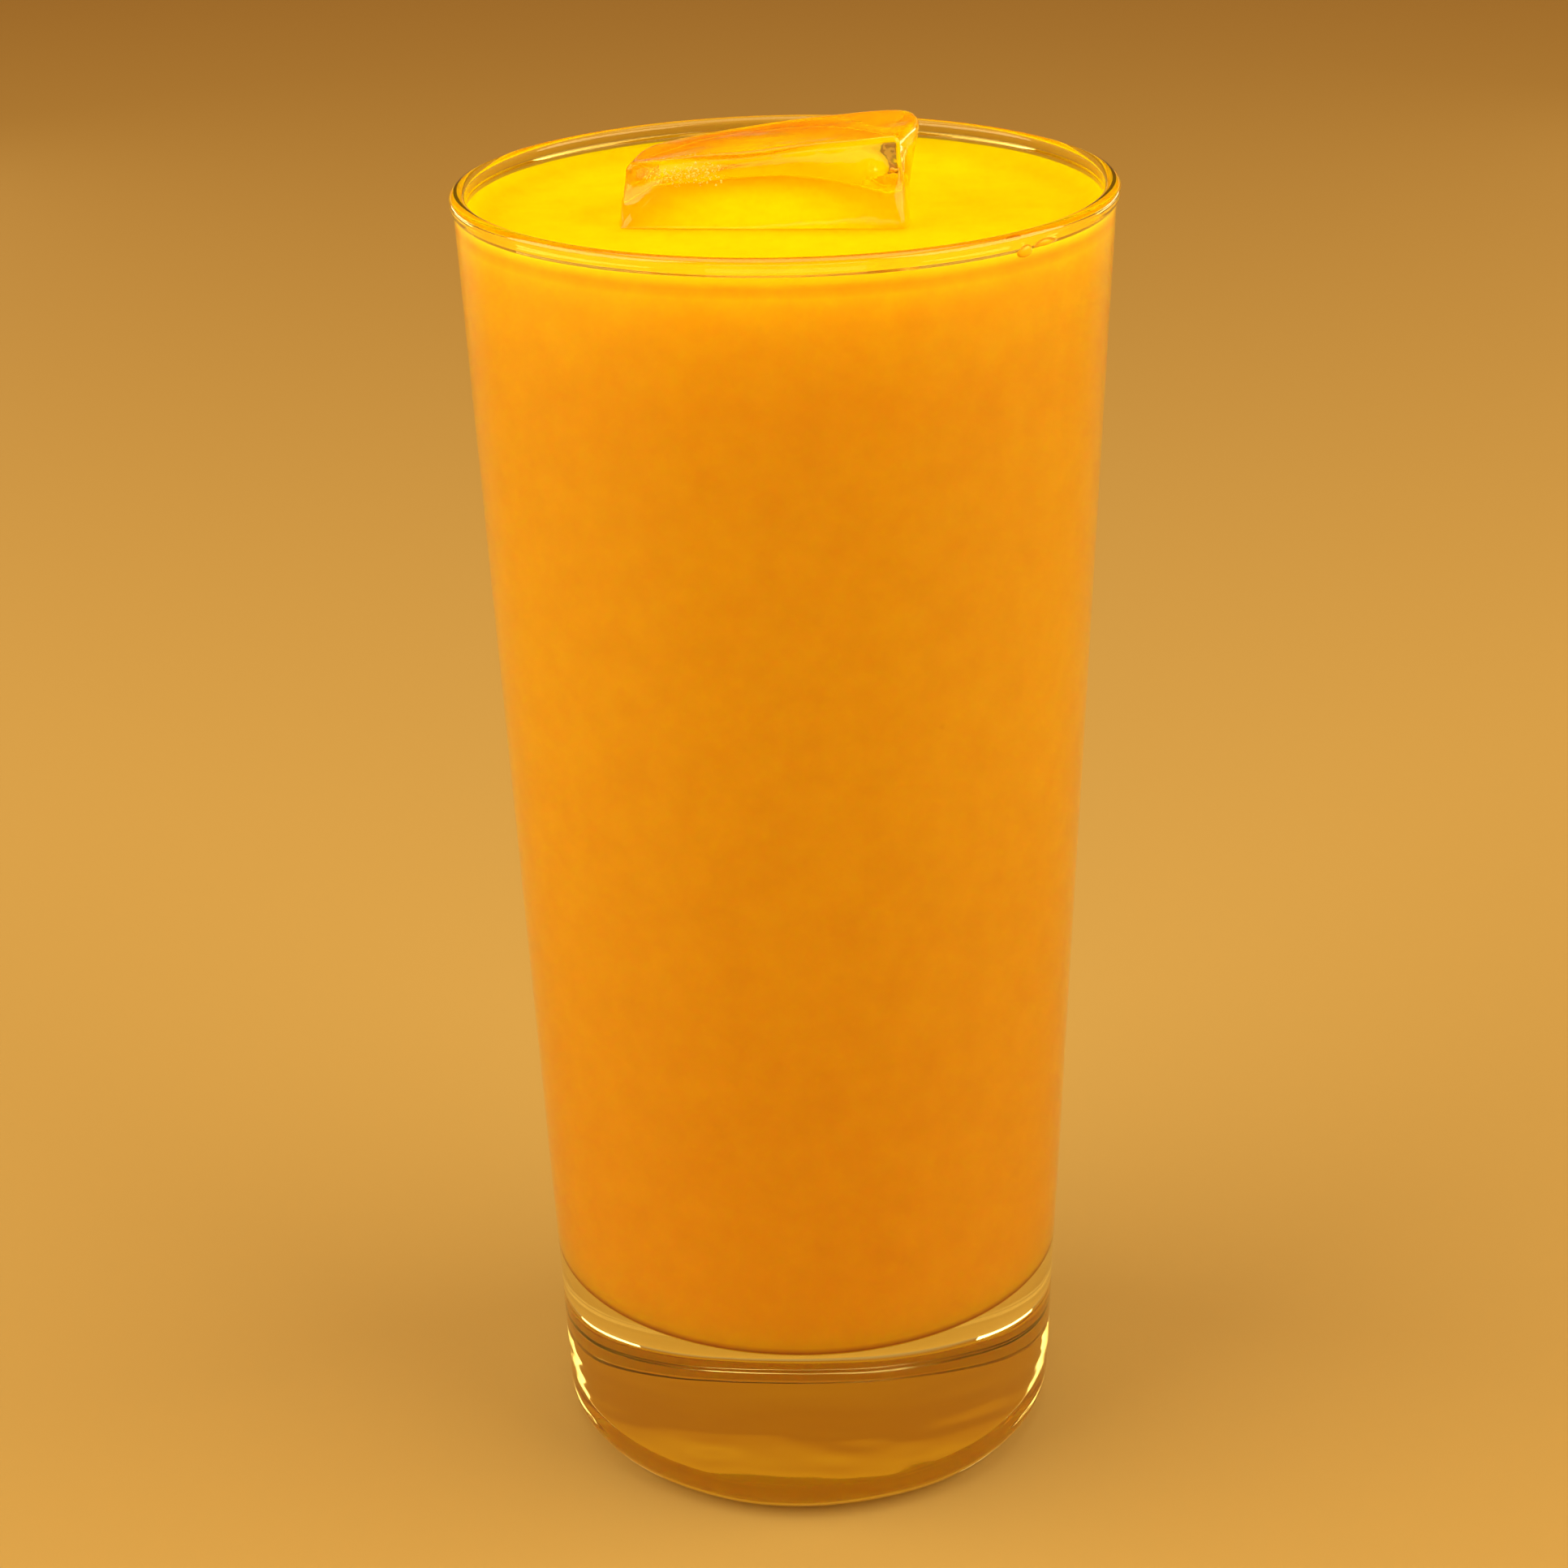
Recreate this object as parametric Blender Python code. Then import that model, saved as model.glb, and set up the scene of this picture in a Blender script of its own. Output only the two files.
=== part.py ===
"""A tall glass of mango lassi with a piece of ice floating in it.

Three pieces: the glass, a turned tumbler with a thin tapered wall, a low collar at the lip and a
thick base; the lassi that fills it almost to the lip; and the ice, a melted slab whose upper end
stands above the lip. Metres, +Z up. The origin is the centre of the glass's foot, on the surface
that it stands on.
"""

import math

import bmesh
import bpy
from mathutils import Matrix, Vector, noise

# The glass
HEIGHT = 0.150
FOOT_RADIUS = 0.0292  # of the outer cone, carried down to the foot
MOUTH_RADIUS = 0.0353  # of the outer cone, carried up to the lip
WALL = 0.00135
LIP_HEIGHT = 0.0017  # of the collar round the lip
LIP_PROUD = 0.0002  # how far the collar stands out of the wall
LIP_STEP = 0.0004  # the height over which it does so
LIP_ROUND = 0.0006  # how far down the rounding of its top reaches
HEEL_RADIUS = 0.0040
FOOT_RING_WIDTH = 0.0042  # the flat ring that the glass rests on
PUNT_STEP = 0.0007  # the edge of the shallow hollow inside that ring
PUNT_STEP_WIDTH = 0.0025
PUNT_DEPTH = 0.0010  # of the hollow at its centre
BASE_THICKNESS = 0.0218  # from the foot to the edge of the inner floor
FLOOR_CORNER = 0.0028
FLOOR_DISH = 0.0005  # how far the inner floor sinks towards its centre
GLASS_COLOUR = (0.97, 0.98, 0.96)
GLASS_ROUGHNESS = 0.02
GLASS_IOR = 1.52

# The lassi
LASSI_LEVEL = 0.1467
MENISCUS_RISE = 0.0004
MENISCUS_WIDTH = 0.0018
FIT_GAP = 0.0003  # between pieces that touch
LASSI_COLOUR = (0.92, 0.47, 0.002)
LASSI_ROUGHNESS = 0.35
WATER_IOR = 1.33

# The ice: its outline at the top and at the waterline, seen from above, in metres from its centre
ICE_TOP_OUTLINE = (
    (-0.0138, -0.0064), (-0.0127, -0.0070), (0.0000, -0.0061), (0.0144, -0.0053), (0.0153, -0.0045),
    (0.0159, 0.0005), (0.0156, 0.0055), (0.0142, 0.0088), (0.0115, 0.0100), (0.0050, 0.0103),
    (-0.0006, 0.0099), (-0.0050, 0.0085), (-0.0085, 0.0069), (-0.0112, 0.0054), (-0.0129, 0.0029),
    (-0.0137, 0.0000),
)
ICE_WATER_OUTLINE = (
    (-0.0138, -0.0095), (-0.0124, -0.0102), (0.0031, -0.0087), (0.0154, -0.0072), (0.0163, -0.0060),
    (0.0159, -0.0020), (0.0143, 0.0030), (0.0114, 0.0076), (0.0074, 0.0112), (0.0024, 0.0132),
    (-0.0028, 0.0130), (-0.0076, 0.0104), (-0.0112, 0.0062), (-0.0134, 0.0010), (-0.0145, -0.0048),
)
ICE_CENTRE = Vector((-0.0020, -0.0006))
ICE_TURN = math.radians(-11.7)
ICE_TOP = 0.1546  # the height of its top at its centre
ICE_SLOPE = math.tan(math.radians(6.4))  # its right end is the higher one
ICE_EDGE = 0.0009  # the rounding round its top
ICE_SUNK = 0.0012  # how deep its underside, melted to a shallow bowl, reaches into the lassi
ICE_DIMPLE = 0.00022  # the depth of its melted dimples
ICE_DIMPLE_SCALE = 150
ICE_DIMPLE_SEED = 4  # vector noise starts from the clock unless it is given a seed
ICE_COLOUR = (0.98, 0.98, 0.97)
ICE_ROUGHNESS = 0.06
ICE_IOR = 1.31

TURNED_STEPS = 80
CORNER_STEPS = 6
LIP_STEPS = 6
STEP_STEPS = 3
FLOOR_STEPS = 4
ICE_AROUND = 64
ICE_EDGE_STEPS = 3
ICE_SIDE_STEPS = 5
ICE_CAP_STEPS = 4
OUTLINE_STEPS = 4
WELD = 1e-6  # points nearer than this are one
TINY = 1e-9


def outer_radius(z):
    """The glass's outer face is a cone that widens towards the lip."""
    return FOOT_RADIUS + (MOUTH_RADIUS - FOOT_RADIUS) * z / HEIGHT


def inner_radius(z):
    return outer_radius(z) - WALL


def eased(share):
    """A share from 0 to 1 that starts and ends gently."""
    return share * share * (3 - 2 * share)


def arc(centre, radius, start, end, steps):
    """Points of a circular arc in the (radius, height) half plane, with angles in radians."""
    angles = [start + (end - start) * i / steps for i in range(steps + 1)]
    return [(centre[0] + radius * math.cos(a), centre[1] + radius * math.sin(a)) for a in angles]


def hollow(edge_radius, edge_z, centre_z, steps):
    """Points of a shallow round hollow, from its edge to the axis."""
    points = []
    for i in range(1, steps + 1):
        share = i / steps
        rise = (centre_z - edge_z) * (1 - (1 - share) ** 2)
        points.append((edge_radius * (1 - share), edge_z + rise))
    return points


def punt(ring_inside):
    """The underside from the axis outwards: a nearly flat hollow, and its step down to the ring."""
    underside = list(reversed(hollow(ring_inside - PUNT_STEP_WIDTH, PUNT_STEP, PUNT_DEPTH, FLOOR_STEPS)))
    for i in range(STEP_STEPS + 1):
        share = 1 - i / STEP_STEPS
        underside.append((ring_inside - PUNT_STEP_WIDTH * share, PUNT_STEP * eased(share)))
    return underside


def lip():
    """Up the collar's outside, over its rounded top and down to the inner wall."""
    collar = []
    for i in range(STEP_STEPS + 1):
        share = i / STEP_STEPS
        z = HEIGHT - LIP_HEIGHT + LIP_STEP * (share - 0.5)
        collar.append((outer_radius(z) + LIP_PROUD * eased(share), z))
    half_wall = (WALL + LIP_PROUD) / 2
    middle = outer_radius(HEIGHT) + LIP_PROUD - half_wall
    for i in range(LIP_STEPS + 1):
        turn = math.pi * i / LIP_STEPS
        z = HEIGHT + LIP_ROUND * (math.sin(turn) - 1)
        collar.append((middle + half_wall * math.cos(turn), z))
    return collar


def glass_outline():
    """Half of the glass's section: under the foot, up the outside, over the lip and down the inside."""
    heel_centre = (outer_radius(HEEL_RADIUS) - HEEL_RADIUS, HEEL_RADIUS)
    corner_z = BASE_THICKNESS + FLOOR_CORNER
    corner_centre = (inner_radius(corner_z) - FLOOR_CORNER, corner_z)

    outline = punt(heel_centre[0] - FOOT_RING_WIDTH)
    outline += arc(heel_centre, HEEL_RADIUS, -math.pi / 2, 0, CORNER_STEPS)
    outline += lip()
    outline += arc(corner_centre, FLOOR_CORNER, 0, -math.pi / 2, CORNER_STEPS)
    outline += hollow(corner_centre[0], BASE_THICKNESS, BASE_THICKNESS - FLOOR_DISH, FLOOR_STEPS)
    return outline


def lassi_outline():
    """Half of the lassi's section, from its underside to its top, where it climbs the wall."""
    corner_radius = FLOOR_CORNER - FIT_GAP
    corner_z = BASE_THICKNESS + FLOOR_CORNER
    corner_centre = (inner_radius(corner_z) - FLOOR_CORNER, corner_z)
    bottom_z = BASE_THICKNESS + FIT_GAP
    edge_z = LASSI_LEVEL + MENISCUS_RISE
    edge_radius = inner_radius(edge_z) - FIT_GAP

    outline = list(reversed(hollow(corner_centre[0], bottom_z, bottom_z - FLOOR_DISH, FLOOR_STEPS)))
    outline += arc(corner_centre, corner_radius, -math.pi / 2, 0, CORNER_STEPS)
    for i in range(CORNER_STEPS + 1):
        share = i / CORNER_STEPS
        rise = MENISCUS_RISE * (1 - share) ** 2
        outline.append((edge_radius - MENISCUS_WIDTH * share, LASSI_LEVEL + rise))
    outline.append((0.0, LASSI_LEVEL))
    return outline


def turned(name, outline):
    """A solid of revolution about Z, from a half section that begins and ends on the axis."""
    shape = bmesh.new()
    points = [shape.verts.new((x, 0.0, z)) for x, z in outline]
    edges = [shape.edges.new(pair) for pair in zip(points, points[1:])]
    bmesh.ops.spin(
        shape, geom=points + edges, cent=(0, 0, 0), axis=(0, 0, 1), angle=math.tau, steps=TURNED_STEPS
    )
    bmesh.ops.remove_doubles(shape, verts=shape.verts, dist=WELD)
    bmesh.ops.recalc_face_normals(shape, faces=shape.faces)
    return placed(name, shape)


def smooth_outline(corners):
    """A smooth closed curve through the points."""
    points = [Vector(corner) for corner in corners]
    curve = []
    for i, start in enumerate(points):
        before, end, after = points[i - 1], points[(i + 1) % len(points)], points[(i + 2) % len(points)]
        for k in range(OUTLINE_STEPS):
            t = k / OUTLINE_STEPS
            bend = (2 * before - 5 * start + 4 * end - after) * t**2
            twist = (3 * start - before - 3 * end + after) * t**3
            curve.append(start + 0.5 * ((end - before) * t + bend + twist))
    return curve


def reach(outline, direction):
    """How far the outline is from its centre in a direction."""
    for start, end in zip(outline, outline[1:] + outline[:1]):
        far = crossing(direction, start, end)
        if far:
            return far
    raise ValueError("the outline doesn't go round its centre")


def crossing(direction, start, end):
    """How far from the centre a direction crosses an edge, or nothing."""
    edge = end - start
    across = direction.x * edge.y - direction.y * edge.x
    if across == 0:
        return None
    far = (start.x * edge.y - start.y * edge.x) / across
    along = (start.x * direction.y - start.y * direction.x) / across
    return far if far > 0 and -TINY <= along <= 1 + TINY else None


def ice_column(direction, top_reach, water_reach):
    """The ice's surface in one direction, from next to the centre of its top to that of its underside."""
    points = []

    def add(far, z):
        points.append(Vector((direction.x * far, direction.y * far, z)))

    def top_at(far):
        return ICE_TOP + ICE_SLOPE * direction.x * far

    for i in range(1, ICE_CAP_STEPS):
        far = (top_reach - ICE_EDGE) * i / ICE_CAP_STEPS
        add(far, top_at(far))
    for i in range(ICE_EDGE_STEPS + 1):
        turn = math.pi / 2 * i / ICE_EDGE_STEPS
        far = top_reach - ICE_EDGE * (1 - math.sin(turn))
        add(far, top_at(far) - ICE_EDGE * (1 - math.cos(turn)))
    for i in range(1, ICE_SIDE_STEPS + 1):
        share = i / ICE_SIDE_STEPS
        far = top_reach + (water_reach - top_reach) * eased(share)
        add(far, LASSI_LEVEL + (top_at(far) - ICE_EDGE - LASSI_LEVEL) * (1 - share))
    for i in range(1, ICE_CAP_STEPS):
        share = 1 - i / ICE_CAP_STEPS
        add(water_reach * share, LASSI_LEVEL - ICE_SUNK * (1 - share**3))
    return points


def ice_block(name, grow=0.0):
    """A slab with a flat sloping top, sides that spread to the waterline, and a shallow bowl below."""
    top = smooth_outline(ICE_TOP_OUTLINE)
    waterline = smooth_outline(ICE_WATER_OUTLINE)
    shape = bmesh.new()
    first = shape.verts.new((0, 0, ICE_TOP))
    last = shape.verts.new((0, 0, LASSI_LEVEL - ICE_SUNK))
    columns = []
    for i in range(ICE_AROUND):
        angle = math.tau * i / ICE_AROUND
        direction = Vector((math.cos(angle), math.sin(angle)))
        column = ice_column(direction, reach(top, direction), reach(waterline, direction))
        columns.append([shape.verts.new(point) for point in column])
    for here, there in zip(columns, columns[1:] + columns[:1]):
        shape.faces.new((first, here[0], there[0]))
        shape.faces.new((last, there[-1], here[-1]))
        for i in range(len(here) - 1):
            shape.faces.new((here[i], here[i + 1], there[i + 1], there[i]))
    noise.seed_set(ICE_DIMPLE_SEED)
    for vert in shape.verts:
        vert.co += noise.noise_vector(vert.co * ICE_DIMPLE_SCALE) * ICE_DIMPLE
    shape.normal_update()
    bmesh.ops.recalc_face_normals(shape, faces=shape.faces)
    turn = Matrix.Rotation(ICE_TURN, 3, "Z")
    for vert in shape.verts:
        vert.co = turn @ (vert.co + vert.normal * grow) + ICE_CENTRE.to_3d()
    return placed(name, shape)


def placed(name, shape):
    """An object in the scene with this mesh, shaded smooth."""
    mesh = bpy.data.meshes.new(name)
    shape.to_mesh(mesh)
    shape.free()
    mesh.shade_smooth()
    obj = bpy.data.objects.new(name, mesh)
    bpy.context.scene.collection.objects.link(obj)
    return obj


def finish_of(name, colour, roughness, transmission=0.0, ior=WATER_IOR):
    material = bpy.data.materials.new(name)
    material.use_nodes = True
    shader = material.node_tree.nodes["Principled BSDF"]
    shader.inputs["Base Color"].default_value = (*colour, 1.0)
    shader.inputs["Roughness"].default_value = roughness
    shader.inputs["Metallic"].default_value = 0.0
    shader.inputs["Transmission Weight"].default_value = transmission
    shader.inputs["IOR"].default_value = ior
    return material


def cut_out(obj, cutter):
    """Takes the cutter's shape out of the object, and keeps the cutter as a hidden guide."""
    cutter.hide_render = True
    cutter.display_type = "WIRE"
    cut = obj.modifiers.new("seat of " + cutter.name, "BOOLEAN")
    cut.operation = "DIFFERENCE"
    cut.solver = "EXACT"
    cut.object = cutter


def main():
    for obj in list(bpy.data.objects):
        bpy.data.objects.remove(obj)

    glass = turned("glass", glass_outline())
    glass.data.materials.append(finish_of("clear glass", GLASS_COLOUR, GLASS_ROUGHNESS, 1.0, GLASS_IOR))

    lassi = turned("lassi", lassi_outline())
    lassi.data.materials.append(finish_of("mango lassi", LASSI_COLOUR, LASSI_ROUGHNESS))

    ice = ice_block("ice_block")
    ice.data.materials.append(finish_of("clear ice", ICE_COLOUR, ICE_ROUGHNESS, 1.0, ICE_IOR))
    cut_out(lassi, ice_block("ice_seat", FIT_GAP))


main()
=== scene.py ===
import math

import bmesh
import bpy
from mathutils import Matrix, Vector, noise
from mathutils.bvhtree import BVHTree


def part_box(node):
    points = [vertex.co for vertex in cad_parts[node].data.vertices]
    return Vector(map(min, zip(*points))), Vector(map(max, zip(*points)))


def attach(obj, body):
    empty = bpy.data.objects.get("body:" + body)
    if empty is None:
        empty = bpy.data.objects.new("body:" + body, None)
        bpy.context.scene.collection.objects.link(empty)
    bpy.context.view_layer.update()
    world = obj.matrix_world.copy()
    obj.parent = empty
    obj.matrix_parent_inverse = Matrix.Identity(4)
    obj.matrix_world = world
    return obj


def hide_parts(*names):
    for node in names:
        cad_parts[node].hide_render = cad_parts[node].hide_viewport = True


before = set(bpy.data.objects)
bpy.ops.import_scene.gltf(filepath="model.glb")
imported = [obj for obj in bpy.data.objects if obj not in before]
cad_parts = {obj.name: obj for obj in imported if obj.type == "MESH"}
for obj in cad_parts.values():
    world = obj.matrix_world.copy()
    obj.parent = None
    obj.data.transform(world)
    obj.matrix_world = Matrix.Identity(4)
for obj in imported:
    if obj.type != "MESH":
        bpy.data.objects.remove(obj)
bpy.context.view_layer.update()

# ------------------------------------------------------------------------------------------------
# The glass. A tall tumbler of clear soda-lime glass in one piece: a thin wall that widens evenly
# to a low fire-polished collar at the lip, on a thick solid base that stands on a narrow ring
# round a shallow hollow. It is spun in its mould, so it is round but never quite even.
# ------------------------------------------------------------------------------------------------
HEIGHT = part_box("glass")[1].z
FOOT_RADIUS = 0.0292  # of the outer cone, carried down to the foot
MOUTH_RADIUS = 0.0353  # of the outer cone, carried up to the lip
WALL = 0.00135
LIP_HEIGHT = 0.0017  # of the collar, which has a rounded top
LIP_PROUD = 0.0003
LIP_ROUND = 0.0006  # how far down the rounding of the top reaches
LIP_STEP = 0.0005  # the height over which the collar swells out of the wall
HEEL_RADIUS = 0.0040
FOOT_RING_WIDTH = 0.0042
PUNT_STEP = 0.0007  # where the hollow underneath begins
PUNT_STEP_WIDTH = 0.0025
PUNT_DEPTH = 0.0010
BASE_THICKNESS = 0.0218
FLOOR_CORNER = 0.0028
FLOOR_DISH = 0.0005
TURNED_STEPS = 256
ROUNDING_STEPS = 16
WALL_STEPS = 36
WELD = 1e-6  # points closer than this are one point
GLASS_WAVE = 0.00003  # how uneven the wall is
BASE_WAVE = 0.00012  # and how uneven the inner floor and the heel are
FINE_WAVE_SHARE = 0.3
WAVE_SCALE = 75.0
FINE_WAVE_SCALE = 240.0
FLAT_FOOT = 0.0005  # the foot is ground flat up to here


def outer_radius(z):
    """The glass's outer face is a cone that widens towards the lip."""
    return FOOT_RADIUS + (MOUTH_RADIUS - FOOT_RADIUS) * z / HEIGHT


def inner_radius(z):
    return outer_radius(z) - WALL


def eased(share):
    """A share from 0 to 1 that starts and stops gently."""
    return share * share * (3 - 2 * share)


def arc(centre, radius, start, end, steps=ROUNDING_STEPS):
    """Points of a circular arc in the (radius, height) half plane, with angles in radians."""
    angles = [start + (end - start) * i / steps for i in range(steps + 1)]
    return [(centre[0] + radius * math.cos(a), centre[1] + radius * math.sin(a)) for a in angles]


def straight(start, end, steps=WALL_STEPS):
    """The points between two ends of a straight line, without the ends."""
    return [
        tuple(a + (b - a) * i / steps for a, b in zip(start, end)) for i in range(1, steps)
    ]


def hollow(edge_radius, edge_z, centre_z, steps=ROUNDING_STEPS):
    """Points of a shallow round hollow, from its edge to the axis."""
    shares = [i / steps for i in range(1, steps + 1)]
    return [
        (edge_radius * (1 - share), edge_z + (centre_z - edge_z) * (1 - (1 - share) ** 2))
        for share in shares
    ]


def lip_section():
    """Up the collar's outside, over its rounded top and down to the inner wall."""
    collar = []
    for i in range(ROUNDING_STEPS + 1):
        share = i / ROUNDING_STEPS
        z = HEIGHT - LIP_HEIGHT + LIP_STEP * (share - 0.5)
        collar.append((outer_radius(z) + LIP_PROUD * eased(share), z))
    half_wall = (WALL + LIP_PROUD) / 2
    middle = outer_radius(HEIGHT) + LIP_PROUD - half_wall
    for i in range(2 * ROUNDING_STEPS + 1):
        turn = math.pi * i / (2 * ROUNDING_STEPS)
        z = HEIGHT + LIP_ROUND * (math.sin(turn) - 1)
        collar.append((middle + half_wall * math.cos(turn), z))
    return collar


def floor_corner():
    """Where the inner wall turns into the inner floor: the centre of that rounding."""
    z = BASE_THICKNESS + FLOOR_CORNER
    return inner_radius(z) - FLOOR_CORNER, z


def glass_section():
    """Half of the glass's section: under the foot, up the outside, over the lip and down the inside."""
    heel_centre = (outer_radius(HEEL_RADIUS) - HEEL_RADIUS, HEEL_RADIUS)
    ring_inside = heel_centre[0] - FOOT_RING_WIDTH
    section = list(reversed(hollow(ring_inside - PUNT_STEP_WIDTH, PUNT_STEP, PUNT_DEPTH)))
    for i in range(ROUNDING_STEPS, -1, -1):
        share = i / ROUNDING_STEPS
        section.append((ring_inside - PUNT_STEP_WIDTH * share, PUNT_STEP * eased(share)))
    heel = arc(heel_centre, HEEL_RADIUS, -math.pi / 2, 0)
    lip = lip_section()
    corner = arc(floor_corner(), FLOOR_CORNER, 0, -math.pi / 2)
    section += heel + straight(heel[-1], lip[0]) + lip
    section += straight(lip[-1], corner[0]) + corner
    section += hollow(corner[-1][0], BASE_THICKNESS, BASE_THICKNESS - FLOOR_DISH)
    return section


def node(tree, kind, **settings):
    """A node of that kind, with these settings on it and on its inputs."""
    made = tree.nodes.new(kind)
    for name, value in settings.items():
        if hasattr(made, name):
            setattr(made, name, value)
        else:
            made.inputs[name.replace("_", " ")].default_value = value
    return made


def tree_with_inputs(name, **inputs):
    """A geometry node tree with these inputs, of these kinds, and the nodes at its two ends."""
    tree = bpy.data.node_groups.new(name, "GeometryNodeTree")
    tree.interface.new_socket("Start", in_out="INPUT", socket_type="NodeSocketGeometry")
    for label, kind in inputs.items():
        tree.interface.new_socket(label.replace("_", " "), in_out="INPUT", socket_type="NodeSocket" + kind)
    tree.interface.new_socket("Piece", in_out="OUTPUT", socket_type="NodeSocketGeometry")
    return tree, node(tree, "NodeGroupInput").outputs, node(tree, "NodeGroupOutput").inputs["Piece"]


def worked_out(tree, kind, operation, *values):
    """The result of a calculation on values that are sockets or plain numbers."""
    made = node(tree, kind, operation=operation)
    for value, socket in zip(values, made.inputs):
        if isinstance(value, bpy.types.NodeSocket):
            tree.links.new(value, socket)
        else:
            socket.default_value = value
    return made.outputs[0]


def finish_tree(tree, geometry, material, piece):
    """The last steps of a tree: smooth shading, real meshes for its instances, and its material."""
    smooth = node(tree, "GeometryNodeSetShadeSmooth")
    real = node(tree, "GeometryNodeRealizeInstances")
    coated = node(tree, "GeometryNodeSetMaterial")
    tree.links.new(geometry, smooth.inputs["Geometry"])
    tree.links.new(smooth.outputs["Geometry"], real.inputs["Geometry"])
    tree.links.new(real.outputs["Geometry"], coated.inputs["Geometry"])
    tree.links.new(material, coated.inputs["Material"])
    tree.links.new(coated.outputs["Geometry"], piece)


def lathe_tree():
    """Turns the points of a half section about Z, as on a lathe, and closes the seam and the poles."""
    tree, given, piece = tree_with_inputs("lathe", Steps_round="Int", Weld="Float", Material="Material")
    link = tree.links.new
    section_size = node(tree, "GeometryNodeAttributeDomainSize")
    link(given["Start"], section_size.inputs["Geometry"])
    columns = worked_out(tree, "FunctionNodeIntegerMath", "ADD", given["Steps round"], 1)
    sheet = node(tree, "GeometryNodeMeshGrid")
    link(section_size.outputs["Point Count"], sheet.inputs["Vertices X"])
    link(columns, sheet.inputs["Vertices Y"])

    index = node(tree, "GeometryNodeInputIndex").outputs["Index"]
    row = worked_out(tree, "FunctionNodeIntegerMath", "DIVIDE_FLOOR", index, columns)
    column = worked_out(tree, "FunctionNodeIntegerMath", "MODULO", index, columns)
    section_point = node(tree, "GeometryNodeSampleIndex", data_type="FLOAT_VECTOR")
    link(given["Start"], section_point.inputs["Geometry"])
    link(node(tree, "GeometryNodeInputPosition").outputs["Position"], section_point.inputs["Value"])
    link(row, section_point.inputs["Index"])

    share = worked_out(tree, "ShaderNodeMath", "DIVIDE", column, given["Steps round"])
    turn = node(tree, "ShaderNodeVectorRotate", rotation_type="Z_AXIS")
    link(section_point.outputs["Value"], turn.inputs["Vector"])
    link(worked_out(tree, "ShaderNodeMath", "MULTIPLY", share, math.tau), turn.inputs["Angle"])
    wrapped = node(tree, "GeometryNodeSetPosition")
    link(sheet.outputs["Mesh"], wrapped.inputs["Geometry"])
    link(turn.outputs["Vector"], wrapped.inputs["Position"])
    welded = node(tree, "GeometryNodeMergeByDistance")
    link(wrapped.outputs["Geometry"], welded.inputs["Geometry"])
    link(given["Weld"], welded.inputs["Distance"])
    finish_tree(tree, welded.outputs["Geometry"], given["Material"], piece)
    return tree


def in_scene(name, mesh):
    piece = bpy.data.objects.new(name, mesh)
    bpy.context.scene.collection.objects.link(piece)
    return piece


def apply_modifiers(piece):
    """Makes what the piece's modifiers give its own plain mesh, and removes them."""
    finished = bpy.data.meshes.new_from_object(
        piece.evaluated_get(bpy.context.evaluated_depsgraph_get())
    )
    piece.modifiers.clear()
    piece.data = finished


def made_by(tree, name, start, **values):
    """The piece that a tree makes from a starting mesh and these values of its inputs."""
    piece = in_scene(name, start)
    maker = piece.modifiers.new(tree.name, "NODES")
    maker.node_group = tree
    for socket in tree.interface.items_tree:
        label = socket.name.replace(" ", "_")
        if label in values:
            maker[socket.identifier] = values[label]
    apply_modifiers(piece)
    return piece


def faces_outwards(piece):
    shape = bmesh.new()
    shape.from_mesh(piece.data)
    bmesh.ops.recalc_face_normals(shape, faces=shape.faces)
    shape.to_mesh(piece.data)
    shape.free()


LATHE = lathe_tree()


def turned(name, section, material):
    """A solid of revolution about Z, from a half section that begins and ends on the axis."""
    line = bpy.data.meshes.new(name)
    line.from_pydata([(x, 0.0, z) for x, z in section], [], [])
    piece = made_by(LATHE, name, line, Steps_round=TURNED_STEPS, Weld=WELD, Material=material)
    faces_outwards(piece)
    return piece


def new_material(name, **values):
    """A material with its node tree and its shader, whose inputs take these values."""
    material = bpy.data.materials.new(name)
    material.use_nodes = True
    shader = material.node_tree.nodes["Principled BSDF"]
    for socket, value in values.items():
        shader.inputs[socket.replace("_", " ")].default_value = value
    return material, material.node_tree, shader


def clouds(tree, scale, detail, roughness=0.5):
    """Noise fixed to the piece, from 0 to 1."""
    made = node(tree, "ShaderNodeTexNoise", Scale=scale, Detail=detail, Roughness=roughness)
    tree.links.new(node(tree, "ShaderNodeTexCoord").outputs["Object"], made.inputs["Vector"])
    return made.outputs["Fac"]


def dull_patches(tree, shader, pattern, span, roughness):
    """Roughness that goes from its least to its most as the pattern goes through its span."""
    spread = node(
        tree, "ShaderNodeMapRange",
        From_Min=span[0], From_Max=span[1], To_Min=roughness[0], To_Max=roughness[1],
    )
    tree.links.new(pattern, spread.inputs["Value"])
    tree.links.new(spread.outputs["Result"], shader.inputs["Roughness"])


def clear_glass():
    material, tree, shader = new_material(
        "clear soda-lime glass",
        Base_Color=(1.0, 0.91, 0.40, 1.0), Transmission_Weight=1.0, IOR=1.5, Specular_IOR_Level=0.15,
    )
    smudges = clouds(tree, scale=45.0, detail=4.0)
    dull_patches(tree, shader, smudges, span=(0.40, 0.75), roughness=(0.0, 0.07))
    return material


def waver(point):
    """How far the glass stands out from its true form at a point of its surface."""
    low = 1 - min(1.0, point.z / (2 * BASE_THICKNESS))
    fine = FINE_WAVE_SHARE * low * noise.noise(point * FINE_WAVE_SCALE)
    return (GLASS_WAVE + (BASE_WAVE - GLASS_WAVE) * low) * (noise.noise(point * WAVE_SCALE) + fine)


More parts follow.
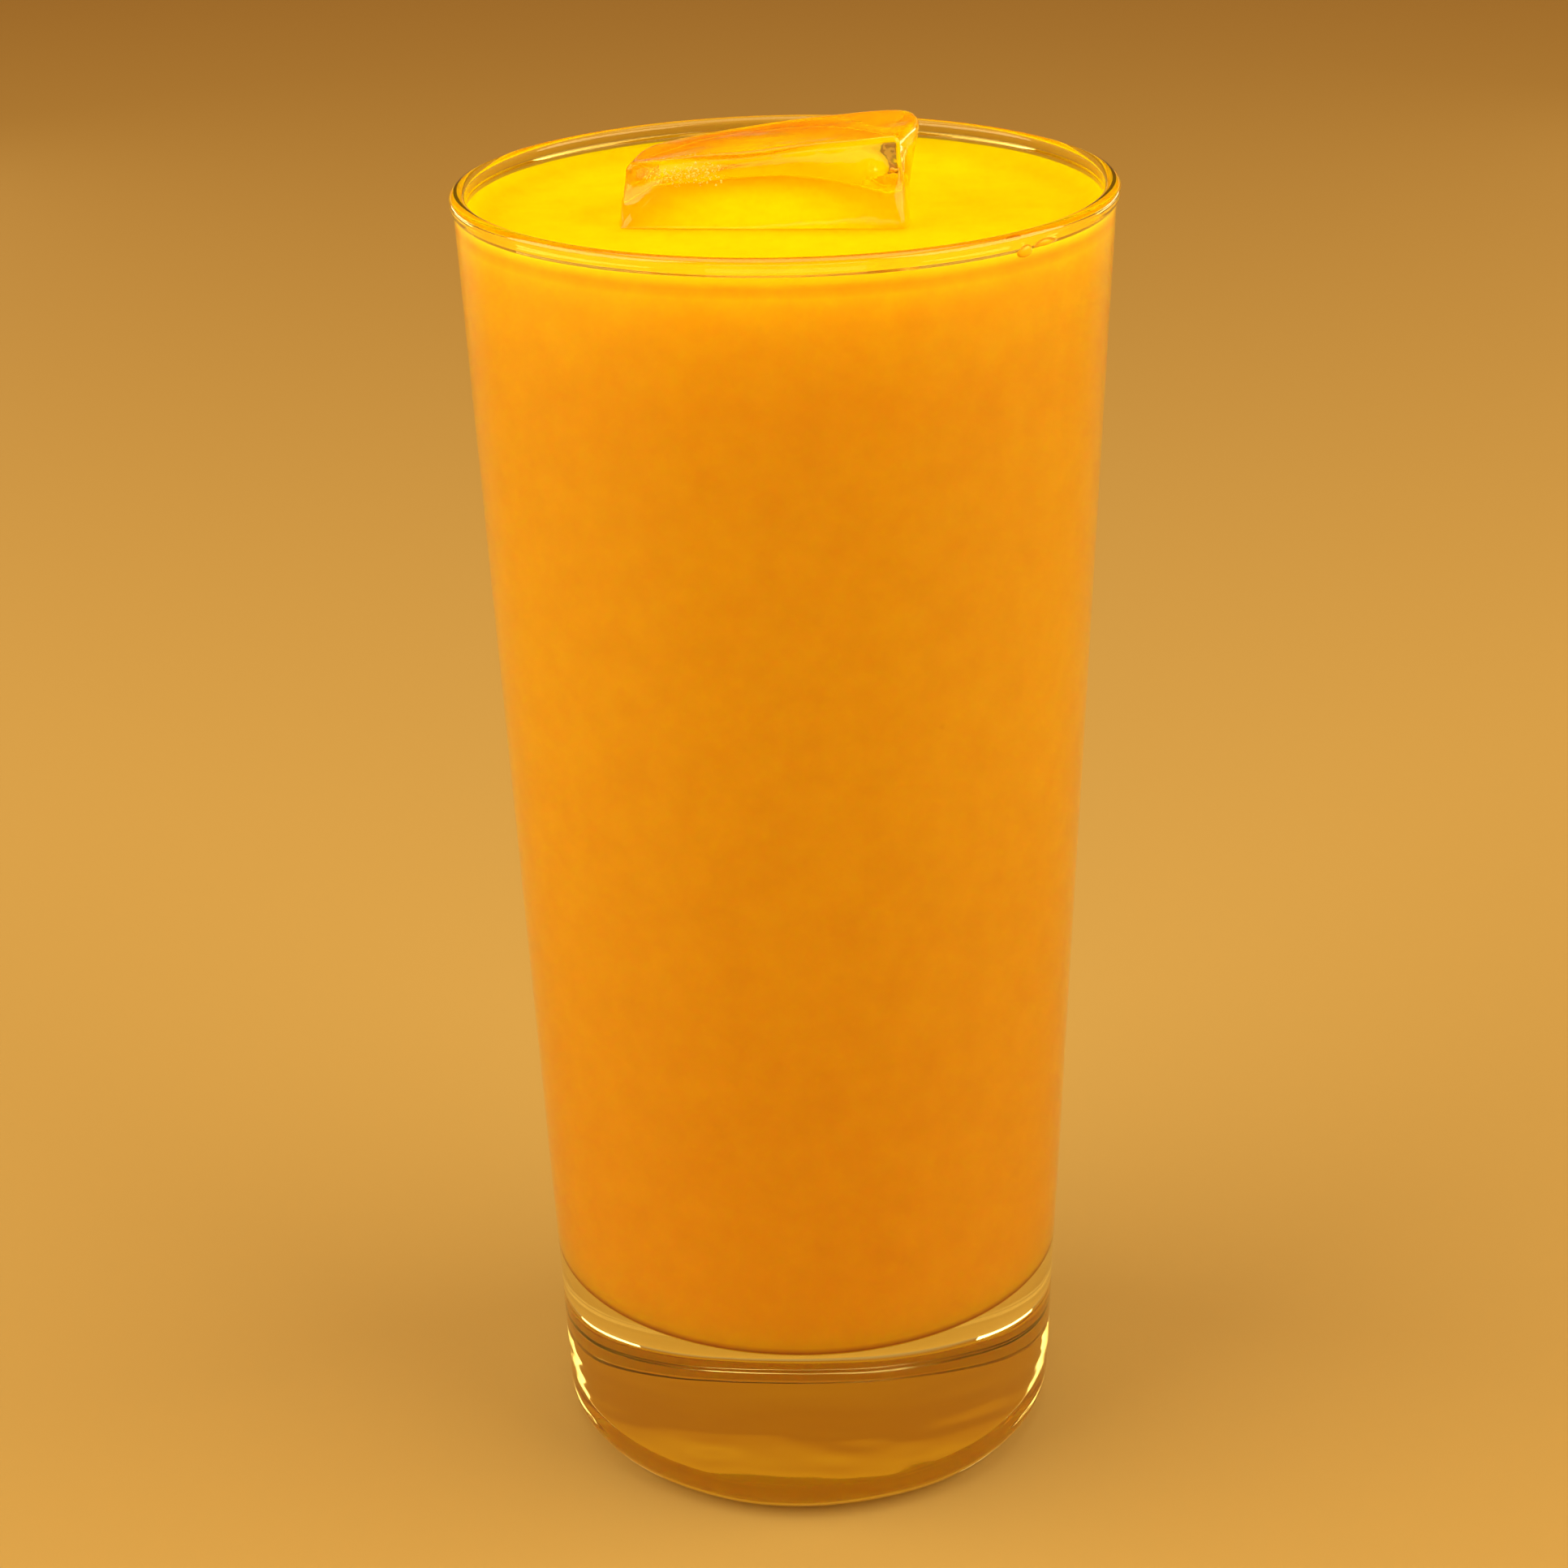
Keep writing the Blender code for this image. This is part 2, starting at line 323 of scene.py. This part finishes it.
glass = turned("tumbler", glass_section(), clear_glass())
outwards = [normal.vector.copy() for normal in glass.data.vertex_normals]
for vert, normal in zip(glass.data.vertices, outwards):
    if vert.co.z > FLAT_FOOT:
        vert.co += normal * waver(vert.co)

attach(glass, "root")
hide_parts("glass")

# ------------------------------------------------------------------------------------------------
# The ice. A slab of clear ice from a tray, melted flat and sloping on top, round at its edges,
# dimpled all over and wider at its waterline. It floats low, with one end higher, and stands a
# little above the lip.
# ------------------------------------------------------------------------------------------------
MM = 0.001
ICE_CENTRE = Vector((-2.0, -0.6)) * MM  # of its two outlines
ICE_TURN = math.radians(-11.7)
ICE_TOP = 0.1546  # at its centre
ICE_SLOPE = math.tan(math.radians(6.4))  # its right end is the higher one
ICE_EDGE = 0.0009  # the rounding round its top
ICE_SUNK = 0.0012  # how deep its melted underside reaches into the lassi
ICE_BOWL_POWER = 3  # the higher, the flatter the middle of its underside
ICE_DIMPLE = 0.00022
ICE_DIMPLE_SCALE = 150
ICE_DIMPLE_SEED = 4  # the same as for the solid, or the noise starts from the clock
ICE_AROUND = 240
ICE_CAP_ROWS = 30
ICE_SIDE_ROWS = 30
ICE_EDGE_ROWS = 8
PARALLEL = 1e-12  # a cross product below this is of two parallel lines
SLACK = 1e-9  # how far past an edge's end a crossing may be
LASSI_LEVEL = 0.1467
# The outline of its top and of its waterline from above, in mm, anticlockwise from the front left
ICE_TOP_OUTLINE = (
    (-13.5, -6.3), (-12.7, -7.0), (-6.0, -6.6), (0.0, -6.1), (7.0, -5.7), (14.4, -5.3), (15.3, -4.5),
    (15.9, 0.5), (15.6, 5.5), (14.2, 8.8), (11.5, 10.0), (5.0, 10.3), (-0.6, 9.9), (-5.0, 8.5),
    (-8.5, 6.9), (-11.2, 5.4), (-12.9, 2.9), (-13.7, 0.0), (-13.9, -3.0),
)
ICE_WATER_OUTLINE = (
    (-13.6, -9.6), (-12.4, -10.2), (-5.0, -9.5), (3.1, -8.7), (10.0, -7.9), (15.4, -7.2), (16.3, -6.0),
    (15.9, -2.0), (14.3, 3.0), (11.4, 7.6), (7.4, 11.2), (2.4, 13.2), (-2.8, 13.0), (-7.6, 10.4),
    (-11.2, 6.2), (-13.4, 1.0), (-14.5, -4.8),
)


def piece_of(name, shape):
    """A smooth piece with this shape, whose place is in its mesh."""
    mesh = bpy.data.meshes.new(name)
    shape.to_mesh(mesh)
    shape.free()
    mesh.shade_smooth()
    return in_scene(name, mesh)


def smooth_outline(corners, steps=8):
    """A smooth closed curve in metres through points given in mm."""
    points = [Vector(corner) * MM for corner in corners]
    curve = []
    for i, start in enumerate(points):
        before, end, after = points[i - 1], points[(i + 1) % len(points)], points[(i + 2) % len(points)]
        for k in range(steps):
            t = k / steps
            bend = (2 * before - 5 * start + 4 * end - after) * t**2
            twist = (3 * start - before - 3 * end + after) * t**3
            curve.append(start + 0.5 * ((end - before) * t + bend + twist))
    return curve


def reach(outline, direction):
    """How far the outline is from its centre in a direction."""
    for start, end in zip(outline, outline[1:] + outline[:1]):
        edge = end - start
        across = direction.x * edge.y - direction.y * edge.x
        if abs(across) < PARALLEL:
            continue
        far = (start.x * edge.y - start.y * edge.x) / across
        along = (start.x * direction.y - start.y * direction.x) / across
        if far > 0 and -SLACK <= along <= 1 + SLACK:
            return far
    raise ValueError("the outline doesn't go round its centre")


def ice_top_z(x):
    return ICE_TOP + ICE_SLOPE * x


def ice_column(direction, top_reach, water_reach):
    """Points of the ice's surface in one direction, from next to its top's centre to its underside's."""
    points = []

    def add(far, z_of):
        place = direction * far
        points.append(Vector((place.x, place.y, z_of(place.x))))

    for i in range(1, ICE_CAP_ROWS):
        add((top_reach - ICE_EDGE) * i / ICE_CAP_ROWS, ice_top_z)
    for i in range(ICE_EDGE_ROWS + 1):
        turn = math.pi / 2 * i / ICE_EDGE_ROWS
        add(
            top_reach - ICE_EDGE * (1 - math.sin(turn)),
            lambda x: ice_top_z(x) - ICE_EDGE * (1 - math.cos(turn)),
        )
    for i in range(1, ICE_SIDE_ROWS + 1):
        low = i / ICE_SIDE_ROWS
        add(
            top_reach + (water_reach - top_reach) * eased(low),
            lambda x: LASSI_LEVEL + (ice_top_z(x) - ICE_EDGE - LASSI_LEVEL) * (1 - low),
        )
    for i in range(1, ICE_CAP_ROWS):
        out = 1 - i / ICE_CAP_ROWS
        add(water_reach * out, lambda x: LASSI_LEVEL - ICE_SUNK * (1 - out**ICE_BOWL_POWER))
    return points


def ice_block(name, grow=0.0):
    """A slab of ice, square at its top and rounder where it meets the lassi. grow makes it larger."""
    top = smooth_outline(ICE_TOP_OUTLINE)
    waterline = smooth_outline(ICE_WATER_OUTLINE)
    shape = bmesh.new()
    first = shape.verts.new((0, 0, ICE_TOP))
    last = shape.verts.new((0, 0, LASSI_LEVEL - ICE_SUNK))
    columns = []
    for i in range(ICE_AROUND):
        turn = math.tau * i / ICE_AROUND
        direction = Vector((math.cos(turn), math.sin(turn)))
        column = ice_column(direction, reach(top, direction), reach(waterline, direction))
        columns.append([shape.verts.new(point) for point in column])
    for here, there in zip(columns, columns[1:] + columns[:1]):
        shape.faces.new((first, here[0], there[0]))
        shape.faces.new((last, there[-1], here[-1]))
        for i in range(len(here) - 1):
            shape.faces.new((here[i], here[i + 1], there[i + 1], there[i]))
    turned_to = Matrix.Rotation(ICE_TURN, 3, "Z")
    noise.seed_set(ICE_DIMPLE_SEED)
    for vert in shape.verts:
        vert.co += noise.noise_vector(vert.co * ICE_DIMPLE_SCALE) * ICE_DIMPLE
        vert.co = turned_to @ vert.co + ICE_CENTRE.to_3d()
    shape.normal_update()
    for vert in shape.verts:
        vert.co += vert.normal * grow
    bmesh.ops.recalc_face_normals(shape, faces=shape.faces)
    return piece_of(name, shape)


def bumps(tree, shader, pattern, strength, depth):
    """Fine relief on the surface, from a pattern."""
    relief = node(tree, "ShaderNodeBump", Strength=strength, Distance=depth)
    tree.links.new(pattern, relief.inputs["Height"])
    tree.links.new(relief.outputs["Normal"], shader.inputs["Normal"])


def clear_ice():
    material, tree, shader = new_material(
        "clear melting ice", Base_Color=(1.0, 0.91, 0.35, 1.0), Transmission_Weight=1.0, IOR=1.31,
    )
    frost = clouds(tree, scale=210.0, detail=4.0, roughness=0.6)
    dull_patches(tree, shader, frost, span=(0.42, 0.68), roughness=(0.02, 0.15))
    pits = clouds(tree, scale=420.0, detail=2.0)
    bumps(tree, shader, pits, strength=0.15, depth=0.0005)
    return material


ice = ice_block("ice_cube")
ice.data.materials.append(clear_ice())

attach(ice, "root")
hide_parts("ice_block")

# ------------------------------------------------------------------------------------------------
# Air trapped in the ice. A cloud of tiny bubbles that froze in near one end, just behind the
# front face, where they make a whitish patch. It is densest in its middle.
# ------------------------------------------------------------------------------------------------
BUBBLES = 420
BUBBLE_RADII = (0.00003, 0.00014)  # the smallest and the largest
CLOUD_CENTRE = (-0.0076, -0.0046, 0.1514)  # along the ice, across it, and up
CLOUD_REACH = (0.0042, 0.0009, 0.0012)
CLOUD_SEED = 4
SMALL_MORE_OFTEN = 3.0  # the power that makes small bubbles the common ones
PLACE_DRAWS = 3  # added up for each bubble's place, so that the cloud is densest in its middle
PLACE_DRAW_REACH = 0.5  # in parts of the cloud's reach


def bubble_tree():
    """Scatters bubbles in a cloud that follows the slope of the ice's top."""
    tree, given, piece = tree_with_inputs(
        "bubbles", Count="Int", Centre="Vector", Reach="Vector", Slope="Float",
        Smallest="Float", Largest="Float", Seed="Int", Material="Material",
    )
    link = tree.links.new

    def draw(number, low, high):
        """A random vector for each bubble, each part of it between two limits."""
        drawn = node(tree, "FunctionNodeRandomValue", data_type="FLOAT_VECTOR")
        drawn.inputs["Min"].default_value = (low,) * 3
        drawn.inputs["Max"].default_value = (high,) * 3
        link(worked_out(tree, "FunctionNodeIntegerMath", "ADD", given["Seed"], number), drawn.inputs["Seed"])
        return drawn.outputs["Value"]

    bell = draw(0, -PLACE_DRAW_REACH, PLACE_DRAW_REACH)
    for number in range(1, PLACE_DRAWS):
        drawn = draw(number, -PLACE_DRAW_REACH, PLACE_DRAW_REACH)
        bell = worked_out(tree, "ShaderNodeVectorMath", "ADD", bell, drawn)
    bell = worked_out(tree, "ShaderNodeVectorMath", "MAXIMUM", bell, (-1.0,) * 3)
    bell = worked_out(tree, "ShaderNodeVectorMath", "MINIMUM", bell, (1.0,) * 3)
    offset = worked_out(tree, "ShaderNodeVectorMath", "MULTIPLY", bell, given["Reach"])
    along = node(tree, "ShaderNodeSeparateXYZ")
    link(offset, along.inputs[0])
    lift = node(tree, "ShaderNodeCombineXYZ")
    link(worked_out(tree, "ShaderNodeMath", "MULTIPLY", along.outputs["X"], given["Slope"]), lift.inputs["Z"])
    level = worked_out(tree, "ShaderNodeVectorMath", "ADD", given["Centre"], offset)
    points = node(tree, "GeometryNodePoints")
    link(given["Count"], points.inputs["Count"])
    link(worked_out(tree, "ShaderNodeVectorMath", "ADD", level, lift.outputs[0]), points.inputs["Position"])

    chance = node(tree, "ShaderNodeSeparateXYZ")
    link(draw(PLACE_DRAWS, 0.0, 1.0), chance.inputs[0])
    radius = node(tree, "ShaderNodeMapRange")
    rare = worked_out(tree, "ShaderNodeMath", "POWER", chance.outputs["X"], SMALL_MORE_OFTEN)
    link(rare, radius.inputs["Value"])
    link(given["Smallest"], radius.inputs["To Min"])
    link(given["Largest"], radius.inputs["To Max"])
    cloud = node(tree, "GeometryNodeInstanceOnPoints")
    link(points.outputs[0], cloud.inputs["Points"])
    bubble = node(tree, "GeometryNodeMeshIcoSphere", Radius=1.0, Subdivisions=1)
    link(bubble.outputs["Mesh"], cloud.inputs["Instance"])
    link(radius.outputs["Result"], cloud.inputs["Scale"])
    finish_tree(tree, cloud.outputs["Instances"], given["Material"], piece)
    return tree


trapped_air = new_material("air trapped in ice", Base_Color=(0.98, 0.93, 0.80, 1.0), Roughness=0.4)[0]
bubbles = made_by(
    bubble_tree(), "air_bubbles", bpy.data.meshes.new("air_bubbles"),
    Count=BUBBLES, Centre=CLOUD_CENTRE, Reach=CLOUD_REACH, Slope=ICE_SLOPE,
    Smallest=BUBBLE_RADII[0], Largest=BUBBLE_RADII[1], Seed=CLOUD_SEED, Material=trapped_air,
)
bubbles.data.transform(Matrix.Translation(ICE_CENTRE.to_3d()) @ Matrix.Rotation(ICE_TURN, 4, "Z"))

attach(bubbles, "root")

# ------------------------------------------------------------------------------------------------
# The lassi. Mango and yoghurt beaten smooth, thick and opaque, poured almost to the lip. It wets
# the glass, so it reaches into the wall here, and it climbs a little up the glass and the ice.
# ------------------------------------------------------------------------------------------------
MENISCUS_RISE = 0.0013  # where it climbs the glass
MENISCUS_WIDTH = 0.0009
ICE_MENISCUS_RISE = 0.0003
ICE_MENISCUS_WIDTH = 0.0008
INTO_GLASS = 0.00025
INTO_ICE = 0.00012
RIPPLE = 0.00004
RIPPLE_SCALE = 120
TOP_STEPS = 120
TOP_CROWDING = 1.5  # above 1, the rings of its top lie closer towards the wall
TOP_SLACK = 0.00001  # a point less than this below the level is on the top
LASSI_COLOUR_AND_PAINTED_LIGHT = (  # by height, from its underside to its edge at the glass; its changes with height are painted light and shade
    # painted light: the underside is lighter, for light that comes up through the glass's base
    (0.0, (0.95, 0.58, 0.002)),
    # painted shade: a thin dark line where the floor's corner turns the lassi downwards, then darker towards
    # the bottom up to 0.60 of its height
    (0.0006, (0.40, 0.09, 0.0005)),
    (0.0050, (0.42, 0.10, 0.0005)),
    (0.0100, (0.87, 0.48, 0.001)),
    (0.60, (0.92, 0.58, 0.001)),
    (0.90, (0.93, 0.58, 0.001)),
    # painted light: a lighter yellow band just under the top, for light that goes in at the top and comes out
    # at the side
    (0.955, (0.94, 0.67, 0.001)),
    (0.993, (0.94, 0.67, 0.001)),
    # painted shade: the top and the meniscus are a deeper orange than the band under them, which holds down
    # the strong light that falls on the top
    (0.9985, (0.93, 0.445, 0.001)),
    (1.0, (0.93, 0.445, 0.001)),
)
MOTTLE_TONES = ((0.30, (0.955, 0.90, 0.8)), (0.70, (1.0, 1.0, 1.0)))
PULP_COLOUR = (0.62, 0.19, 0.002, 1.0)
PULP_SCALE = 130.0
PULP_BARE = 0.955  # the share of the pattern's cells without a speck of pulp
PULP_STRENGTH = 0.55
PULP_SPAN = (0.03, 0.10)  # from a speck's middle to its edge, in parts of a cell
LASSI_GLOW = 0.010  # how far light travels in it


def drop_scraps(piece):
    """Removes the scraps that a cut can leave: two faces back to back on the same corners."""
    shape = bmesh.new()
    shape.from_mesh(piece.data)
    bmesh.ops.remove_doubles(shape, verts=shape.verts, dist=WELD)
    bmesh.ops.triangulate(shape, faces=shape.faces)
    faces_on = {}
    for face in shape.faces:
        faces_on.setdefault(frozenset(face.verts), []).append(face)
    scraps = [face for faces in faces_on.values() if len(faces) > 1 for face in faces]
    bmesh.ops.delete(shape, geom=scraps, context="FACES")
    shape.to_mesh(piece.data)
    shape.free()


def lassi_outline():
    """Half of the lassi's section, from its underside to the middle of its top."""
    corner_centre = floor_corner()
    bottom_z = BASE_THICKNESS - INTO_GLASS
    edge = (inner_radius(LASSI_LEVEL) + INTO_GLASS, LASSI_LEVEL)
    side = arc(corner_centre, FLOOR_CORNER + INTO_GLASS, -math.pi / 2, 0)
    outline = list(reversed(hollow(corner_centre[0], bottom_z, bottom_z - FLOOR_DISH)))
    outline += side + straight(side[-1], edge)
    for i in range(TOP_STEPS + 1):
        share = 1 - (i / TOP_STEPS) ** TOP_CROWDING
        outline.append((edge[0] * share, LASSI_LEVEL))
    return outline


def tones(tree, factor, stops):
    """The colours that a factor passes through at these places between 0 and 1."""
    made = node(tree, "ShaderNodeValToRGB")
    tree.links.new(factor, made.inputs["Fac"])
    elements = made.color_ramp.elements
    for element, (place, colour) in zip((elements[0], elements[1]), (stops[0], stops[-1])):
        element.position = place
        element.color = (*colour, 1.0)
    for place, colour in stops[1:-1]:
        elements.new(place).color = (*colour, 1.0)
    return made.outputs["Color"]


def pulp_specks(tree):
    """How strongly each point shows a speck of pulp, from 0 to PULP_STRENGTH."""
    cells = node(tree, "ShaderNodeTexVoronoi", Scale=PULP_SCALE)
    tree.links.new(node(tree, "ShaderNodeTexCoord").outputs["Object"], cells.inputs["Vector"])
    chance = node(tree, "ShaderNodeSeparateColor")
    tree.links.new(cells.outputs["Color"], chance.inputs["Color"])
    chosen = worked_out(tree, "ShaderNodeMath", "GREATER_THAN", chance.outputs["Red"], PULP_BARE)
    size = node(
        tree, "ShaderNodeMapRange",
        From_Min=PULP_SPAN[0], From_Max=PULP_SPAN[1], To_Min=PULP_STRENGTH, To_Max=0.0,
    )
    tree.links.new(cells.outputs["Distance"], size.inputs["Value"])
    return worked_out(tree, "ShaderNodeMath", "MULTIPLY", chosen, size.outputs["Result"])


def creamy_lassi():
    """Opaque and glowing: light goes into it and comes out near by."""
    material, tree, shader = new_material(
        "mango lassi", Roughness=0.35, IOR=1.35, Specular_IOR_Level=0.0,
        Subsurface_Weight=1.0, Subsurface_Radius=(1.0, 0.7, 0.1), Subsurface_Scale=LASSI_GLOW,
    )
    place = node(tree, "ShaderNodeSeparateXYZ")
    tree.links.new(node(tree, "ShaderNodeTexCoord").outputs["Object"], place.inputs[0])
    # The colour by height is painted light and shade on the lassi; the mottle and the pulp specks over it are
    # its own colour.
    height = node(tree, "ShaderNodeMapRange", From_Min=BASE_THICKNESS, From_Max=LASSI_LEVEL)
    tree.links.new(place.outputs["Z"], height.inputs["Value"])
    mottle = clouds(tree, scale=240.0, detail=2.5, roughness=0.65)
    mottled = node(tree, "ShaderNodeMix", data_type="RGBA", blend_type="MULTIPLY")
    mottled.inputs["Factor"].default_value = 1.0
    tree.links.new(tones(tree, height.outputs["Result"], LASSI_COLOUR_AND_PAINTED_LIGHT), mottled.inputs["A"])
    tree.links.new(tones(tree, mottle, MOTTLE_TONES), mottled.inputs["B"])
    specked = node(tree, "ShaderNodeMix", data_type="RGBA")
    specked.inputs["B"].default_value = PULP_COLOUR
    tree.links.new(pulp_specks(tree), specked.inputs["Factor"])
    tree.links.new(mottled.outputs["Result"], specked.inputs["A"])
    tree.links.new(specked.outputs["Result"], shader.inputs["Base Color"])
    bumps(tree, shader, clouds(tree, scale=700.0, detail=2.0), strength=0.12, depth=0.0004)
    return material


lassi_finish = creamy_lassi()
lassi = turned("mango_lassi", lassi_outline(), lassi_finish)
ice_points = [vert.co for vert in ice.data.vertices]
ice_surface = BVHTree.FromPolygons(ice_points, [face.vertices for face in ice.data.polygons])
for vert in lassi.data.vertices:
    if vert.co.z > LASSI_LEVEL - TOP_SLACK:
        to_wall = inner_radius(LASSI_LEVEL) - math.hypot(vert.co.x, vert.co.y)
        to_ice = ice_surface.find_nearest(vert.co)[3]
        vert.co.z += MENISCUS_RISE * math.exp(-max(0.0, to_wall) / MENISCUS_WIDTH)
        vert.co.z += ICE_MENISCUS_RISE * math.exp(-to_ice / ICE_MENISCUS_WIDTH)
        vert.co.z += RIPPLE * noise.noise(vert.co * RIPPLE_SCALE)

ice_seat = ice_block("ice_seat", -INTO_ICE)
ice_seat.data.materials.append(lassi_finish)
seat_cut = lassi.modifiers.new("seat of the ice", "BOOLEAN")
seat_cut.operation = "DIFFERENCE"
seat_cut.solver = "EXACT"
seat_cut.object = ice_seat
apply_modifiers(lassi)
bpy.data.objects.remove(ice_seat)
drop_scraps(lassi)

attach(lassi, "root")
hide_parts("lassi")

# ------------------------------------------------------------------------------------------------
# The drip. A little lassi that ran over the lip and hangs from the collar outside, flattened
# against the glass, with a thinner smear beside it where it came over.
# ------------------------------------------------------------------------------------------------
DRIP_PLACE = (math.radians(42.2), 0.1481)  # round from the front to the right, and up
DRIP_SIZE = (0.0024, 0.0009, 0.0014)  # along the lip, out from the glass, and up
SMEAR_PLACE = (math.radians(47.0), 0.1485)
SMEAR_SIZE = (0.0040, 0.0008, 0.0008)
DRIP_SLIMMING = 0.35  # how much narrower it is at its top
DRIP_SUBDIVISIONS = 4
DRIP_UNEVEN = 0.00010
DRIP_UNEVEN_SCALE = 600
DRIP_SEED = 7
DRIP_TONES = ((0.3, (0.90, 0.45, 0.002)), (0.7, (0.98, 0.58, 0.004)))

noise.seed_set(DRIP_SEED)
drip_shape = bmesh.new()
for (azimuth, z), size in ((DRIP_PLACE, DRIP_SIZE), (SMEAR_PLACE, SMEAR_SIZE)):
    blob = bmesh.ops.create_icosphere(drip_shape, subdivisions=DRIP_SUBDIVISIONS, radius=0.5)["verts"]
    for vert in blob:
        x, y, up = (vert.co[i] * size[i] for i in range(3))
        slim = 1 - DRIP_SLIMMING * (up / size[2] + 0.5)
        radius = outer_radius(z + up) + y
        angle = azimuth - math.pi / 2 + x * slim / outer_radius(z)
        vert.co = Vector((radius * math.cos(angle), radius * math.sin(angle), z + up))
        vert.co += noise.noise_vector(vert.co * DRIP_UNEVEN_SCALE) * DRIP_UNEVEN
bmesh.ops.reverse_faces(drip_shape, faces=drip_shape.faces)  # bending it round the glass mirrored it
drip = piece_of("drip", drip_shape)
drip_finish, tree, shader = new_material("lassi drip", Roughness=0.3, IOR=1.35)
streaks = clouds(tree, scale=600.0, detail=2.0)
tree.links.new(tones(tree, streaks, DRIP_TONES), shader.inputs["Base Color"])
drip.data.materials.append(drip_finish)

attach(drip, "root")

# ------------------------------------------------------------------------------------------------
# The setting. A plain pale floor, soft lights above and low behind the glass, a warm studio round
# it, and the camera, which looks down at the glass.
# ------------------------------------------------------------------------------------------------
FLOOR_SIZE = 60.0
FLOOR_GAP = 0.00005  # a foot rests on its high points
SIDE_LIGHT_COLOUR = (1.0, 0.84, 0.42)
BACK_LIGHT_COLOUR = (1.0, 0.88, 0.62)
SIDE_LIGHT_SIZE = (1.2, 0.8)
BACK_LIGHT_SIZE = (0.30, 0.08)
LIGHTS = (  # name, place, the point it is turned to, size, watts and colour
    ("overhead light", (0, 0.03, 0.56), (0, 0.03, 0), (0.40, 0.40), 0.96, (1.0, 0.86, 0.45)),
    ("left light", (-0.85, -0.22, 0.62), (0, 0, 0.10), SIDE_LIGHT_SIZE, 14.8, SIDE_LIGHT_COLOUR),
    ("right light", (0.85, -0.22, 0.62), (0, 0, 0.10), SIDE_LIGHT_SIZE, 13.8, SIDE_LIGHT_COLOUR),
    ("front light", (0, -1.0, 0.20), (0, 0, 0.08), (1.0, 0.30), 2.0, (1.0, 0.85, 0.42)),
    ("back left light", (-0.50, 0.65, 0.06), (0, 0, 0.02), BACK_LIGHT_SIZE, 0.40, BACK_LIGHT_COLOUR),
    ("back right light", (0.50, 0.65, 0.06), (0, 0, 0.02), BACK_LIGHT_SIZE, 0.30, BACK_LIGHT_COLOUR),
)
STUDIO_TONES = (  # from straight down to straight up
    (0.0, (0.50, 0.36, 0.20)),
    (0.10, (0.42, 0.15, 0.01)),
    (0.21, (0.60, 0.28, 0.01)),
    (0.35, (0.45, 0.17, 0.006)),
    (0.56, (0.38, 0.12, 0.004)),
    (0.585, (0.46, 0.16, 0.005)),
    (0.66, (0.58, 0.24, 0.008)),
    (0.74, (0.45, 0.16, 0.006)),
    (0.85, (0.40, 0.13, 0.005)),
    (1.0, (0.45, 0.42, 0.38)),
)

floor_shape = bmesh.new()
bmesh.ops.create_grid(floor_shape, x_segments=1, y_segments=1, size=FLOOR_SIZE / 2)
bmesh.ops.translate(floor_shape, verts=floor_shape.verts, vec=(0, 0, -FLOOR_GAP))
floor = piece_of("floor", floor_shape)
pale = new_material("pale floor", Base_Color=(0.41, 0.275, 0.095, 1.0), Roughness=0.7)[0]
floor.data.materials.append(pale)


def softbox(name, place, aim, size, watts, colour):
    """A soft rectangular light at a place, turned towards a point."""
    light = bpy.data.lights.new(name, "AREA")
    light.shape = "RECTANGLE"
    light.size, light.size_y = size
    light.energy = watts
    light.color = colour
    lamp = bpy.data.objects.new(name, light)
    bpy.context.scene.collection.objects.link(lamp)
    lamp.location = place
    lamp.rotation_euler = (Vector(aim) - Vector(place)).to_track_quat("-Z", "Y").to_euler()


for settings in LIGHTS:
    softbox(*settings)

world = bpy.data.worlds.new("studio")
world.use_nodes = True
tree = world.node_tree
height = node(tree, "ShaderNodeSeparateXYZ")
tree.links.new(node(tree, "ShaderNodeTexCoord").outputs["Generated"], height.inputs[0])
backdrop = tree.nodes["Background"]
tree.links.new(tones(tree, height.outputs["Z"], STUDIO_TONES), backdrop.inputs["Color"])
backdrop.inputs["Strength"].default_value = 1.0
world.cycles.sampling_method = "NONE"  # it is smooth enough to need no map
bpy.context.scene.world = world

CAMERA_DISTANCE = 0.37305  # from the middle of the glass's axis
CAMERA_ELEVATION = 0.4117  # this and the next three in radians
CAMERA_YAW = -0.0040
CAMERA_PITCH = 0.0131
CAMERA_ROLL = 0.0207
FOCAL_PIXELS = 3984.5
FRAME_PIXELS = 1932
SENSOR_WIDTH = 36.0  # in mm
NEAREST_SEEN = 0.01

camera = bpy.data.objects.new("camera", bpy.data.cameras.new("camera"))
bpy.context.scene.collection.objects.link(camera)
camera.data.sensor_width = SENSOR_WIDTH
camera.data.lens = SENSOR_WIDTH * FOCAL_PIXELS / FRAME_PIXELS
forward = Vector((0, math.cos(CAMERA_ELEVATION), -math.sin(CAMERA_ELEVATION)))
right = Vector((1, 0, 0))
up = right.cross(forward)
side = right * math.cos(CAMERA_YAW) - forward * math.sin(CAMERA_YAW)
ahead = right * math.sin(CAMERA_YAW) + forward * math.cos(CAMERA_YAW)
top = up * math.cos(CAMERA_PITCH) - ahead * math.sin(CAMERA_PITCH)
ahead = up * math.sin(CAMERA_PITCH) + ahead * math.cos(CAMERA_PITCH)
across = side * math.cos(CAMERA_ROLL) - top * math.sin(CAMERA_ROLL)
top = side * math.sin(CAMERA_ROLL) + top * math.cos(CAMERA_ROLL)
turned_to = Matrix((across, top, -ahead)).transposed().to_4x4()
stands_at = Vector((0, 0, HEIGHT / 2)) - forward * CAMERA_DISTANCE
camera.matrix_world = Matrix.Translation(stands_at) @ turned_to
camera.data.clip_start = NEAREST_SEEN
bpy.context.scene.camera = camera
bpy.context.scene.view_settings.view_transform = "Standard"
